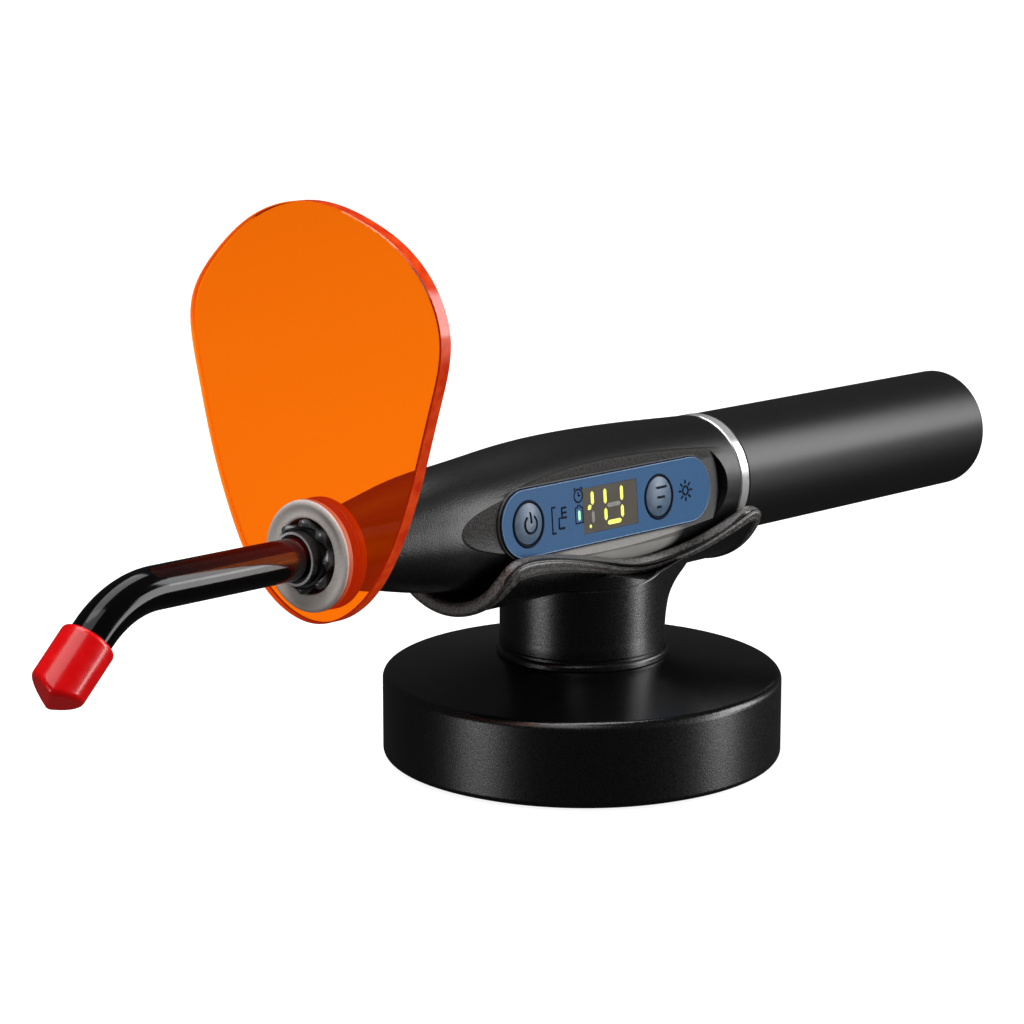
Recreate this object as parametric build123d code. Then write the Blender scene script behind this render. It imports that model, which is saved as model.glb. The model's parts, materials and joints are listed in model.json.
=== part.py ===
from build123d import *
import math
import os

# A cordless dental curing light lying in its table stand. All sizes are in millimetres.
# Row frame: the origin is the centre of the stand's underside and +Z is up. The handpiece
# points its light guide towards -X, and its control panel faces -Y.
#
# Handpiece frame: x runs along the handpiece axis from the light guide to the tail,
# y is the row's +Y, and z is square to both, close to straight up.

# Placing of the handpiece
AXIS_HEIGHT = 52.07          # handpiece axis over the table, above the stand's centre
AXIS_TILT = 2.0              # degrees that the tail end sits lower
PANEL_ROLL = -6.0            # degrees that the panel is turned to face slightly up

# Handpiece, along x
NOSE_FRONT = -71.5
BODY_REAR = 35.0
TUBE_FRONT = 38.25
TUBE_REAR = 126.1
TUBE_RADIUS = 12.83
TUBE_BORE = 11.2
SPIGOT_REAR = 46.0
SPIGOT_RADIUS = TUBE_BORE - 0.05
SPIGOT_BORE = 9.7
RING_RADIUS = 12.98
FRONT_PROFILE = [(NOSE_FRONT, 6.9), (-60.0, 9.2), (-50.0, 11.1), (-37.0, 12.4),
                 (-22.0, 13.75), (-5.0, 14.3), (15.0, 13.85), (BODY_REAR, 12.9)]
CAVITY_FRONT = -49.0
CAVITY_REAR = 33.0
CAVITY_PROFILE = [(CAVITY_FRONT, 9.2), (-37.0, 10.6), (-22.0, 11.95), (-5.0, 12.5),
                  (15.0, 12.05), (CAVITY_REAR, 11.1)]

# Panel stack, as depths from the handpiece axis along the panel's normal
PANEL_MIDDLE = -6.45         # x of the panel's centre
PANEL_LENGTH = 64.1
PANEL_HEIGHT = 13.0
PANEL_FACE = 12.2
PANEL_THICKNESS = 0.4
BEZEL_THICKNESS = 0.45
BEZEL_MARGIN = 0.4
FACET_DEPTH = PANEL_FACE - PANEL_THICKNESS - BEZEL_THICKNESS
FACET_END = 30.3
FACET_HEIGHT = 18.0
INNER_FLAT = 9.9             # inside face of the housing wall behind the panel
POWER_X = -30.9
MODE_X = 8.9
BUTTON_RADIUS = 4.0
BUTTON_GAP = 0.3
BUTTON_DOME = 0.8
BUTTON_FLANGE = 5.0
SWITCH_TOP = 8.85
WINDOW_MIDDLE = -6.25
WINDOW_LENGTH = 16.7
WINDOW_HEIGHT = 8.9
BOARD_FACE = 7.4
BOARD_THICKNESS = 1.2
BOARD_FRONT = -36.0
BOARD_REAR = 31.0
BOARD_HALF_WIDTH = 7.2

# Light guide and its socket
GUIDE_RADIUS = 3.95
GUIDE_REAR = -53.0
BEND_START = -116.0
BEND_RADIUS = 20.0
BEND_ANGLE = 45.0
TIP_STRAIGHT = 9.7
FERRULE_RADIUS = 4.95
FERRULE_FRONT = -81.9
FERRULE_REAR = -55.0
BUSH_RADIUS = 5.55
BUSH_BORE = 5.0
BUSH_FRONT = -80.0
BUSH_REAR = -58.0
COLLET_FRONT = -80.25
COLLET_REAR = -56.0
COLLET_BORE = 5.6
COLLET_LOBE = 6.9
COLLET_TAIL = 5.95
NOSE_BORE = 6.0
CAP_RADIUS = 5.1
CAP_LENGTH = 13.2
CAP_SETBACK = 1.1            # from the end of the bend to the cap's mouth
CAP_END_ROUND = 1.2
CAP_MOUTH_ROUND = 1.0
CAP_PINCH = 26.0             # slope of the two faces of the pinched end
CAP_RIDGE_TURN = 47.0        # turn of the pinched end's ridge about the tip

# Shield, in its own plane square to the axis
SHIELD_FRONT = -76.8
SHIELD_THICKNESS = 3.0
SHIELD_HOLE = 8.4
GROMMET_FRONT = -78.84
GROMMET_REAR = -71.9
GROMMET_RADIUS = 10.4
GROMMET_BORE = 6.95
SHIELD_OUTLINE = [(0.5, 64.0), (16.3, 60.4), (25.8, 53.0), (32.1, 43.5), (30.6, 30.7),
                  (26.3, 16.1), (20.9, 3.4), (11.8, -8.7), (0.0, -12.8), (-11.4, -7.6),
                  (-18.9, 3.1), (-24.1, 16.8), (-27.8, 30.0), (-29.9, 42.9),
                  (-22.8, 55.1), (-10.5, 61.7)]

# Stand
BASE_RADIUS = 40.0
BASE_RIM = 17.3              # height of the base's edge
BASE_CROWN = 21.4            # height of the base's top at the neck
BASE_WALL = 2.4
BASE_TOP_ROUND = 1.6
BASE_FOOT_ROUND = 1.2
BASE_GROUND = 0.6            # the shell's edge hangs this far above the table
PAD_RADIUS = 37.4
PAD_THICKNESS = 1.2
PLATE_RADIUS = 37.5
PLATE_THICKNESS = 2.0
BALLAST_RADIUS = 27.0
BALLAST_HEIGHT = 8.0
SCREW_CIRCLE = 32.0
SCREW_COUNT = 4
SCREW_BOSS = 3.4
SCREW_THREAD = 1.25
SCREW_HOLE = 1.6
SCREW_HEAD = 2.7
SCREW_HEAD_HEIGHT = 1.0
NECK_RADIUS = 16.5
NECK_BORE = 13.7
NECK_FOOT = 0.7              # how far the neck's foot stands out
NECK_BOSS = 5.0              # radius of the screw boss inside the neck
NECK_BOSS_FOOT = 12.0        # lower end of that boss
NECK_ROOF = 31.0             # top of the hollow in the neck
NECK_TOP = 40.0
NECK_SPIGOT_FOOT = 13.0
NECK_THREAD = 2.05           # radius of the screw that holds neck and base together
CRADLE_THREAD = 1.28
CRADLE_HEAD = 1.65
SPIGOT_FIT = 14.7            # bore of the base that takes the neck
# Rings that the neck's flare runs through: height, radius and distance towards the tail
FLARE_RINGS = [(26.4, 16.5, 0.0), (29.7, 16.2, 0.9), (32.5, 14.8, 4.2), (34.7, 13.1, 9.2),
               (36.9, 11.7, 15.0), (39.0, 11.4, 17.5)]
TROUGH_FRONT = -40.2
TROUGH_REAR = 38.8
TROUGH_OUTER = 17.0
TROUGH_SPLIT = 15.9          # where the liner's back meets the shell
TROUGH_INNER = 14.75
LIP_LENGTH = 1.8
BEAD_HEIGHT = 2.4
# Side view of the rim, from its front corner to its tail corner
RIM_LINE = [(TROUGH_FRONT, -9.0), (-38.6, -5.9), (-34.5, -4.8), (-25.0, -5.7), (-12.0, -8.4),
            (0.0, -11.2), (10.0, -12.2), (20.0, -10.4), (30.0, -6.4), (35.0, -4.5), (37.9, -5.2),
            (TROUGH_REAR, -8.0)]

HAND = Location((0, 0, AXIS_HEIGHT), (0, AXIS_TILT, 0))
PANEL = HAND * Location((0, 0, 0), (PANEL_ROLL, 0, 0))
# The panel plane: its x is the handpiece's x, its y runs up the panel and its z points out.
FACE = PANEL * Location((0, 0, 0), (90, 0, 0))


def bar(x0, x1, radius):
    """A round bar along the handpiece axis."""
    return Pos((x0 + x1) / 2, 0, 0) * Rot(0, 90, 0) * Cylinder(radius, x1 - x0)


def sleeve(x0, x1, outer, inner):
    """A round tube along the handpiece axis."""
    return bar(x0, x1, outer) - bar(x0 - 1, x1 + 1, inner)


def spun(points, start, end):
    """The solid under a smooth radius profile, turned about the handpiece axis."""
    skin = Spline(*points)
    foot = Polyline(points[-1], (end, 0), (start, 0), points[0])
    return revolve(make_face(skin + foot), Axis.X)


def lathe(points, axis=Axis.Z):
    """The solid of a straight-sided closed profile of (radius, height) points."""
    plane = Plane.XZ if axis == Axis.Z else Plane.XY
    return revolve(plane * make_face(Polyline(*points, close=True)), axis)


def standing(z0, z1, outer, inner=0.0):
    """An upright disc or ring between two heights."""
    disc = Pos(0, 0, (z0 + z1) / 2) * Cylinder(outer, z1 - z0)
    if inner:
        disc -= Pos(0, 0, (z0 + z1) / 2) * Cylinder(inner, z1 - z0 + 2)
    return disc


def stacked(shape, low, high):
    """A sketch in the panel plane made solid between two depths from the axis."""
    return extrude(Pos(0, 0, low) * shape, high - low)


def block(x0, x1, y0, y1, z0, z1):
    """A box between its corners."""
    return Pos((x0 + x1) / 2, (y0 + y1) / 2, (z0 + z1) / 2) * Box(x1 - x0, y1 - y0, z1 - z0)


# Handpiece housing ----------------------------------------------------------

def cavity(play=0.0):
    """The hollow of the housing, smaller all round by the given play."""
    points = [(x, r - play) for x, r in CAVITY_PROFILE]
    hollow = spun(points, CAVITY_FRONT, CAVITY_REAR)
    flat = FACE * Pos(0, 0, INNER_FLAT - play + 10) * Box(300, 60, 20)
    return hollow - HAND.inverse() * flat


def facet_cutter():
    """The flat that is milled off the housing around the panel, round at its tail end."""
    end_radius = FACET_HEIGHT / 2
    straight_front, straight_rear = NOSE_FRONT, FACET_END - end_radius
    plan = Pos(straight_rear, 0) * Circle(end_radius)
    plan += Pos((straight_front + straight_rear) / 2, 0) * Rectangle(straight_rear - straight_front,
                                                                     FACET_HEIGHT)
    return HAND.inverse() * FACE * stacked(plan, FACET_DEPTH, 20)


def panel_openings(gap):
    """Sketch of the button holes and the display window, widened by a gap."""
    holes = Pos(POWER_X, 0) * Circle(BUTTON_RADIUS + gap)
    holes += Pos(MODE_X, 0) * Circle(BUTTON_RADIUS + gap)
    return holes + Pos(WINDOW_MIDDLE, 0) * Rectangle(WINDOW_LENGTH, WINDOW_HEIGHT)


def front_housing():
    body = spun(FRONT_PROFILE, NOSE_FRONT, BODY_REAR)
    body += bar(BODY_REAR - 2, SPIGOT_REAR, SPIGOT_RADIUS)
    body -= cavity()
    body -= bar(NOSE_FRONT - 1, CAVITY_FRONT + 1, NOSE_BORE)
    body -= bar(CAVITY_REAR - 1, SPIGOT_REAR + 1, SPIGOT_BORE)
    body -= facet_cutter()
    holes = stacked(panel_openings(BUTTON_GAP + 0.1), INNER_FLAT - 3, 20)
    return HAND * (body - HAND.inverse() * FACE * holes)


def panel_plate(margin, low, high, gap):
    """One stadium-shaped layer of the panel stack."""
    plan = Pos(PANEL_MIDDLE, 0) * SlotOverall(PANEL_LENGTH + 2 * margin, PANEL_HEIGHT + 2 * margin)
    return FACE * stacked(plan - panel_openings(gap), low, high)


def panel_bezel():
    return panel_plate(BEZEL_MARGIN, FACET_DEPTH + 0.01, PANEL_FACE - PANEL_THICKNESS, BUTTON_GAP)


def control_panel():
    return panel_plate(0, PANEL_FACE - PANEL_THICKNESS, PANEL_FACE, BUTTON_GAP)


def button(x):
    """A domed key with the flange that keeps it behind the housing wall."""
    dome_ball = (BUTTON_RADIUS ** 2 + BUTTON_DOME ** 2) / (2 * BUTTON_DOME)
    top = PANEL_FACE + BUTTON_DOME
    key = standing(INNER_FLAT - 0.05, top, BUTTON_RADIUS)
    key &= Pos(0, 0, top - dome_ball) * Sphere(dome_ball)
    key += standing(INNER_FLAT - 0.55, INNER_FLAT - 0.05, BUTTON_FLANGE)
    return FACE * Pos(x, 0, 0) * key


def tact_switches():
    """Two board-mounted dome switches, one behind each key."""
    switches = []
    for x in (POWER_X, MODE_X):
        body = Pos(x, 0, BOARD_FACE + 0.6) * Box(5.2, 5.2, 1.2)
        body += Pos(x, 0, (BOARD_FACE + SWITCH_TOP) / 2) * Cylinder(1.4, SWITCH_TOP - BOARD_FACE)
        switches.append(FACE * body)
    return switches


def display_module():
    half_length, half_height = WINDOW_LENGTH / 2 - 0.25, WINDOW_HEIGHT / 2 - 0.2
    body = block(-half_length, half_length, -half_height, half_height, BOARD_FACE, PANEL_FACE - 0.6)
    return FACE * Pos(WINDOW_MIDDLE, 0, 0) * body


def display_window():
    plan = Pos(WINDOW_MIDDLE, 0) * Rectangle(WINDOW_LENGTH - 0.1, WINDOW_HEIGHT - 0.1)
    return FACE * stacked(plan, PANEL_FACE - 0.5, PANEL_FACE - 0.05)


def main_board():
    board = block(BOARD_FRONT, BOARD_REAR, -BOARD_HALF_WIDTH, BOARD_HALF_WIDTH,
                  BOARD_FACE - BOARD_THICKNESS, BOARD_FACE)
    return FACE * board


def board_components():
    """Chips, coil and capacitors on the back of the main board."""
    back = BOARD_FACE - BOARD_THICKNESS
    chips = [block(-8, 1, -4.5, 4.5, back - 1.2, back), block(-16, -11, -2.5, 2.5, back - 1.0, back),
             block(5, 11, -3, 3, back - 3.0, back), block(13, 16, -5.5, -2.5, back - 1.4, back)]
    for x, y in ((14.5, 2.0), (14.5, 5.0)):
        chips.append(Pos(x, y, back - 2) * Cylinder(1.4, 4))
    return [FACE * chip for chip in chips]


def buzzer():
    back = BOARD_FACE - BOARD_THICKNESS
    can = Pos(23.5, 0, back - 1.75) * Cylinder(4.8, 3.5)
    return FACE * (can - Pos(23.5, 0, back - 3.5) * Cylinder(0.9, 1.6))


def board_carrier():
    """Plastic frame that runs round the board and locates it in the hollow."""
    outer = block(BOARD_FRONT - 1, BOARD_REAR + 1.5, -9.2, 9.2, BOARD_FACE - 2.6, BOARD_FACE + 0.8)
    outer -= block(BOARD_FRONT - 0.1, BOARD_REAR + 0.1, -BOARD_HALF_WIDTH - 0.1, BOARD_HALF_WIDTH + 0.1,
                   BOARD_FACE - 5, BOARD_FACE + 5)
    outer -= block(BOARD_REAR - 1, BOARD_REAR + 5, -4, 4, 0, BOARD_FACE - 1)
    return HAND * (HAND.inverse() * FACE * outer & cavity(0.15))


def chrome_ring():
    ring = sleeve(BODY_REAR + 0.25, TUBE_FRONT - 0.25, RING_RADIUS, SPIGOT_RADIUS + 0.05)
    return HAND * chamfer(ring.edges().filter_by(GeomType.CIRCLE).group_by(SortBy.RADIUS)[-1], 0.25)


def ring_seals():
    """Thin black washers on both sides of the bright ring."""
    pairs = ((BODY_REAR, BODY_REAR + 0.25), (TUBE_FRONT - 0.25, TUBE_FRONT - 0.05))
    return [HAND * sleeve(x0, x1, RING_RADIUS - 0.6, SPIGOT_RADIUS + 0.05) for x0, x1 in pairs]


# Light source ---------------------------------------------------------------

def collimator_lens():
    profile = [(-52.4, 0), (-52.4, 5.6), (-51.2, 5.6), (-47.6, 2.6), (-46.2, 2.6), (-46.2, 0)]
    return HAND * lathe(profile, Axis.X)


def lens_holder():
    body = sleeve(-48.8, -43.9, 8.6, 3.2)
    return HAND * (body - lathe([(-49, 0), (-49, 4.1), (-47.4, 2.8), (-43, 2.8), (-43, 0)], Axis.X))


def led_emitter():
    chip = block(-44.6, -43.9, -1.9, 1.9, -1.9, 1.9)
    return HAND * (chip + (Pos(-44.6, 0, 0) * Sphere(1.5) & bar(-46.2, -44.2, 1.5)))


def led_board():
    disc = bar(-43.9, -42.5, 8.4)
    for side in (-1, 1):
        disc -= Pos(0, side * 6.6, 0) * bar(-45, -42, 1.2)
    return HAND * disc


def heat_sink():
    """Finned slug behind the light source, flat where the board passes."""
    slug = bar(-42.5, -20.0, 9.3)
    for i in range(5):
        slug -= sleeve(-38.0 + 3.6 * i, -36.2 + 3.6 * i, 10.5, 5.4)
    over = HAND.inverse() * FACE * Pos(0, 0, 14.6) * Box(200, 60, 20)
    return HAND * ((slug - over) & cavity(0.2))


# Light guide group ----------------------------------------------------------

def guide_path():
    """Centre line of the rod: a straight run, one bend down and a short straight tip."""
    turn = math.radians(BEND_ANGLE)
    bend_end = (BEND_START - BEND_RADIUS * math.sin(turn), 0, -BEND_RADIUS * (1 - math.cos(turn)))
    heading = (-math.cos(turn), 0, -math.sin(turn))
    run = Line((GUIDE_REAR, 0, 0), (BEND_START, 0, 0))
    bend = TangentArc((BEND_START, 0, 0), bend_end, tangent=(-1, 0, 0))
    tip = Line(bend_end, tuple(p + TIP_STRAIGHT * d for p, d in zip(bend_end, heading)))
    return run, bend, tip


def light_guide():
    run, bend, tip = guide_path()
    section = Plane(origin=run @ 0, z_dir=run % 0) * Circle(GUIDE_RADIUS)
    return HAND * sweep(section, path=run + bend + tip)


def tip_frame():
    """Frame at the cap's mouth with +Z along the tip."""
    tip = guide_path()[2]
    return Plane(origin=tip @ (CAP_SETBACK / TIP_STRAIGHT), x_dir=(0, 1, 0), z_dir=tip % 0)


def tip_cap():
    """Soft cap with a rounded mouth and an end pinched to a blunt ridge."""
    cup = Pos(0, 0, CAP_LENGTH / 2) * Cylinder(CAP_RADIUS, CAP_LENGTH)
    for side in (-1, 1):
        slope = Rot(0, 0, CAP_RIDGE_TURN) * Pos(0, 0, CAP_LENGTH) * Rot(side * CAP_PINCH, 0, 0)
        cup -= slope * Pos(0, 0, 10) * Box(40, 40, 20)
    pinched = cup.faces().filter_by(GeomType.PLANE).sort_by(Axis.Z)[-2:]
    ridge_and_rims = {edge for face in pinched for edge in face.edges()}
    cup = fillet(ridge_and_rims, CAP_END_ROUND)
    cup = fillet(cup.edges().group_by(Axis.Z)[0], CAP_MOUTH_ROUND)
    cup -= standing(-1, TIP_STRAIGHT - CAP_SETBACK + 0.2, GUIDE_RADIUS + 0.05)
    return HAND * (tip_frame().location * cup)


def guide_ferrule():
    body = sleeve(FERRULE_FRONT, FERRULE_REAR, FERRULE_RADIUS, GUIDE_RADIUS + 0.02)
    return HAND * (body - bar(FERRULE_FRONT - 1, FERRULE_FRONT + 1.0, 4.5))


def guide_seal():
    return HAND * sleeve(FERRULE_FRONT + 0.3, FERRULE_FRONT + 1.0, 4.48, GUIDE_RADIUS + 0.02)


def guide_bush():
    return HAND * sleeve(BUSH_FRONT, BUSH_REAR, BUSH_RADIUS, BUSH_BORE)


def nose_collet():
    """Collar in the nose with rounded grip lobes, slotted at its front."""
    lobes = 8
    body = sleeve(COLLET_FRONT, NOSE_FRONT - 0.05, COLLET_LOBE, COLLET_BORE)
    for i in range(lobes):
        angle = math.radians(360 / lobes * (i + 0.5))
        notch = bar(COLLET_FRONT - 1, COLLET_FRONT + 3.2, 1.15)
        body -= Pos(0, 7.1 * math.cos(angle), 7.1 * math.sin(angle)) * notch
    body += sleeve(NOSE_FRONT - 0.05, COLLET_REAR, COLLET_TAIL, COLLET_BORE)
    return HAND * body


def shield_grommet():
    """Silicone ring with a groove for the shield and a dished front flange."""
    rear = SHIELD_FRONT + SHIELD_THICKNESS
    body = bar(GROMMET_FRONT, SHIELD_FRONT - 0.05, GROMMET_RADIUS)
    body = fillet(body.edges().filter_by(GeomType.CIRCLE).sort_by(Axis.X)[0], 0.9)
    body += bar(SHIELD_FRONT - 0.1, rear + 0.1, SHIELD_HOLE - 0.05)
    body += bar(rear + 0.05, GROMMET_REAR, GROMMET_RADIUS)
    return HAND * (body - bar(GROMMET_FRONT - 1, GROMMET_REAR + 1, GROMMET_BORE))


def shield_plate():
    outline = Plane.YZ * make_face(Spline(*SHIELD_OUTLINE, periodic=True))
    plate = Pos(SHIELD_FRONT, 0, 0) * extrude(outline, SHIELD_THICKNESS, dir=(1, 0, 0))
    plate = chamfer(plate.edges().filter_by(GeomType.BSPLINE), 0.25)
    return HAND * (plate - bar(SHIELD_FRONT - 1, SHIELD_FRONT + 4, SHIELD_HOLE))


# Battery barrel -------------------------------------------------------------

def battery_tube():
    body = bar(TUBE_FRONT, TUBE_REAR, TUBE_RADIUS)
    body = fillet(body.edges().filter_by(GeomType.CIRCLE).sort_by(Axis.X)[-1], 1.0)
    body = chamfer(body.edges().filter_by(GeomType.CIRCLE).sort_by(Axis.X)[0], 0.2)
    return HAND * (body - bar(TUBE_FRONT - 1, TUBE_REAR + 1, TUBE_BORE))


def tail_cap():
    plug = bar(118.0, TUBE_REAR - 0.2, TUBE_BORE - 0.02)
    return HAND * (plug - bar(117, TUBE_REAR + 1, 4.5))


def charge_jack():
    body = bar(118.4, TUBE_REAR - 0.2, 4.45) - bar(119.6, TUBE_REAR + 1, 2.75)
    return HAND * body


def jack_pin():
    return HAND * bar(119.6, 124.6, 1.05)


def battery_cell():
    return HAND * (bar(48.4, 112.2, 9.2) + bar(47.2, 48.4, 2.9))


def battery_sleeve():
    return HAND * sleeve(48.4, 116.5, 11.1, 9.3)


def battery_spring():
    """Coil that presses the cell forward."""
    coil = Helix(pitch=1.6, height=4.2, radius=4.6)
    wire = Plane(origin=coil @ 0, z_dir=coil % 0) * Circle(0.35)
    spring = sweep(wire, path=coil, is_frenet=True)
    return HAND * (Pos(112.65, 0, 0) * Rot(0, 90, 0) * spring)


def tail_contact():
    return HAND * bar(117.3, 117.9, 7.0)


def contact_board():
    return HAND * bar(44.5, SPIGOT_REAR, SPIGOT_BORE - 0.1)


def front_contact():
    return HAND * bar(SPIGOT_REAR, 47.1, 3.0)


def battery_leads():
    """Two wires from the contact board to the main board."""
    back = BOARD_FACE - BOARD_THICKNESS
    return [FACE * Pos(0, side * 3.0, back - 1.4) * bar(BOARD_REAR - 1.5, 44.4, 0.6) for side in (-1, 1)]


# Stand ----------------------------------------------------------------------

def trough_bar(radius, front=TROUGH_FRONT, rear=TROUGH_REAR):
    return bar(front, rear, radius)


def above_rim(band=0.0):
    """Everything over the wavy rim line, or over the bead's lower edge, in the handpiece frame."""
    line = [(x, z - band) for x, z in RIM_LINE[2:-2]] if band else RIM_LINE
    wave = Spline(*line)
    front, rear = line[0], line[-1]
    far_front, far_rear, high = TROUGH_FRONT - 8, TROUGH_REAR + 8, 30
    cover = Polyline(rear, (far_rear, rear[1]), (far_rear, high), (far_front, high),
                     (far_front, front[1]), front)
    return extrude(Plane.XZ * make_face(wave + cover), 30, both=True)


def neck_flare():
    """The neck's sweep up into the trough, only towards the tail."""
    rings = [Pos(reach, 0, height) * Circle(radius) for height, radius, reach in FLARE_RINGS]
    return loft(rings)


def stand_body():
    """Neck column and the outer shell of the cradle, moulded in one."""
    column = standing(BASE_CROWN - 0.1, NECK_TOP, NECK_RADIUS)
    foot = standing(BASE_CROWN - 0.1, BASE_CROWN + 1.2, NECK_RADIUS + NECK_FOOT)
    column += fillet(foot.edges().group_by(Axis.Z)[-1], NECK_FOOT * 0.95)
    column += neck_flare()
    column -= standing(0, NECK_ROOF, NECK_BORE)
    column += standing(NECK_BOSS_FOOT, NECK_ROOF + 0.5, NECK_BOSS)
    spigot = standing(NECK_SPIGOT_FOOT, BASE_CROWN, SPIGOT_FIT - 0.1)
    column += spigot - standing(0, BASE_CROWN + 1, NECK_BORE - 2)
    shell = trough_bar(TROUGH_OUTER, TROUGH_FRONT + LIP_LENGTH, TROUGH_REAR - LIP_LENGTH)
    shell -= above_rim(BEAD_HEIGHT + 0.05)
    under = HAND * (block(-60, 60, -30, 30, -30, 0) - above_rim(BEAD_HEIGHT + 0.05))
    body = (column & under) + (column & standing(5, 30, 60)) + HAND * shell
    body -= HAND * trough_bar(TROUGH_SPLIT + 0.05, -60, 60)
    body -= standing(27, 50, CRADLE_THREAD + 0.02)
    return body - standing(5, 25, NECK_THREAD + 0.05)


def cradle_liner():
    """Inner trough with end lips and a bead along its wavy rim."""
    inner = trough_bar(TROUGH_SPLIT)
    bead = trough_bar(TROUGH_OUTER) & above_rim(BEAD_HEIGHT)
    lips = bar(TROUGH_FRONT, TROUGH_FRONT + LIP_LENGTH - 0.05, TROUGH_OUTER)
    lips += bar(TROUGH_REAR - LIP_LENGTH + 0.05, TROUGH_REAR, TROUGH_OUTER)
    body = inner + bead + lips
    body -= above_rim()
    body -= trough_bar(TROUGH_INNER, -60, 60)
    return HAND * body - standing(20, 60, CRADLE_HEAD + 0.05)


def cradle_screw():
    top = AXIS_HEIGHT - TROUGH_INNER - 0.3
    head = standing(top - 0.8, top, CRADLE_HEAD)
    return head + standing(28, top - 0.5, CRADLE_THREAD)


def base_shell():
    """Round foot with a low conical top and rounded edges."""
    crown = BASE_CROWN - 0.15
    body = lathe([(0, BASE_GROUND), (BASE_RADIUS, BASE_GROUND), (BASE_RADIUS, BASE_RIM),
                  (NECK_RADIUS, crown), (0, crown)])
    edges = body.edges().filter_by(GeomType.CIRCLE).group_by(SortBy.RADIUS)[-1].sort_by(Axis.Z)
    body = fillet(edges[-1], BASE_TOP_ROUND)
    edges = body.edges().filter_by(GeomType.CIRCLE).sort_by(Axis.Z)
    body = fillet(edges[0], BASE_FOOT_ROUND)
    inside = BASE_RADIUS - BASE_WALL
    under_rim = BASE_RIM - BASE_WALL
    body -= lathe([(0, 0), (inside, 0), (inside, under_rim), (NECK_RADIUS, crown - BASE_WALL),
                   (0, crown - BASE_WALL)])
    for i in range(SCREW_COUNT):
        spot = Rot(0, 0, 360 / SCREW_COUNT * (i + 0.5)) * Pos(SCREW_CIRCLE, 0, 0)
        body += spot * standing(PAD_THICKNESS + PLATE_THICKNESS, BASE_RIM - 1, SCREW_BOSS)
        body -= spot * standing(2, 13, SCREW_THREAD + 0.02)
    return body - standing(5, 30, SPIGOT_FIT)


def base_plate():
    plate = standing(PAD_THICKNESS, PAD_THICKNESS + PLATE_THICKNESS, PLATE_RADIUS)
    for i in range(SCREW_COUNT):
        spot = Rot(0, 0, 360 / SCREW_COUNT * (i + 0.5)) * Pos(SCREW_CIRCLE, 0, 0)
        plate -= spot * standing(0, 5, SCREW_HOLE)
        plate -= spot * standing(0, PAD_THICKNESS + SCREW_HEAD_HEIGHT + 0.1, SCREW_HEAD + 0.2)
    return plate


def base_pad():
    return standing(0, PAD_THICKNESS, PAD_RADIUS)


def base_screws():
    screws = []
    for i in range(SCREW_COUNT):
        spot = Rot(0, 0, 360 / SCREW_COUNT * (i + 0.5)) * Pos(SCREW_CIRCLE, 0, 0)
        shank = standing(PAD_THICKNESS + 0.5, 11, SCREW_THREAD)
        low = PAD_THICKNESS + 0.05
        screws.append(spot * (shank + standing(low, low + SCREW_HEAD_HEIGHT, SCREW_HEAD)))
    return screws


def ballast_weight():
    low = PAD_THICKNESS + PLATE_THICKNESS + 0.05
    disc = standing(low, low + BALLAST_HEIGHT, BALLAST_RADIUS)
    disc = chamfer(disc.edges().filter_by(GeomType.CIRCLE), 0.5)
    return disc - standing(0, 30, 2.4) - standing(0, low + 3.2, 4.7)


def neck_screw():
    low = PAD_THICKNESS + PLATE_THICKNESS + 0.1
    return standing(low, low + 3.0, 4.5) + standing(low + 2.5, 23.0, NECK_THREAD)


NODES = {
    "front_housing": front_housing,
    "panel_bezel": panel_bezel,
    "control_panel": control_panel,
    "power_button": lambda: button(POWER_X),
    "mode_button": lambda: button(MODE_X),
    "tact_switches": tact_switches,
    "display_module": display_module,
    "display_window": display_window,
    "main_board": main_board,
    "board_components": board_components,
    "board_carrier": board_carrier,
    "buzzer": buzzer,
    "chrome_ring": chrome_ring,
    "ring_seals": ring_seals,
    "collimator_lens": collimator_lens,
    "lens_holder": lens_holder,
    "led_emitter": led_emitter,
    "led_board": led_board,
    "heat_sink": heat_sink,
    "light_guide": light_guide,
    "guide_ferrule": guide_ferrule,
    "guide_seal": guide_seal,
    "guide_bush": guide_bush,
    "nose_collet": nose_collet,
    "tip_cap": tip_cap,
    "shield_grommet": shield_grommet,
    "shield_plate": shield_plate,
    "battery_tube": battery_tube,
    "tail_cap": tail_cap,
    "charge_jack": charge_jack,
    "jack_pin": jack_pin,
    "battery_cell": battery_cell,
    "battery_sleeve": battery_sleeve,
    "battery_spring": battery_spring,
    "tail_contact": tail_contact,
    "contact_board": contact_board,
    "front_contact": front_contact,
    "battery_leads": battery_leads,
    "stand_body": stand_body,
    "cradle_liner": cradle_liner,
    "cradle_screw": cradle_screw,
    "base_shell": base_shell,
    "base_plate": base_plate,
    "base_pad": base_pad,
    "base_screws": base_screws,
    "ballast_weight": ballast_weight,
    "neck_screw": neck_screw,
}

os.makedirs("parts", exist_ok=True)
for name, make in NODES.items():
    shape = make()
    if isinstance(shape, list):
        shape = Compound(shape)
    export_step(shape, os.path.join("parts", name + ".step"))
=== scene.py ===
import json
import math

import bmesh
import bpy
from mathutils import Euler, Matrix, Vector

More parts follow.
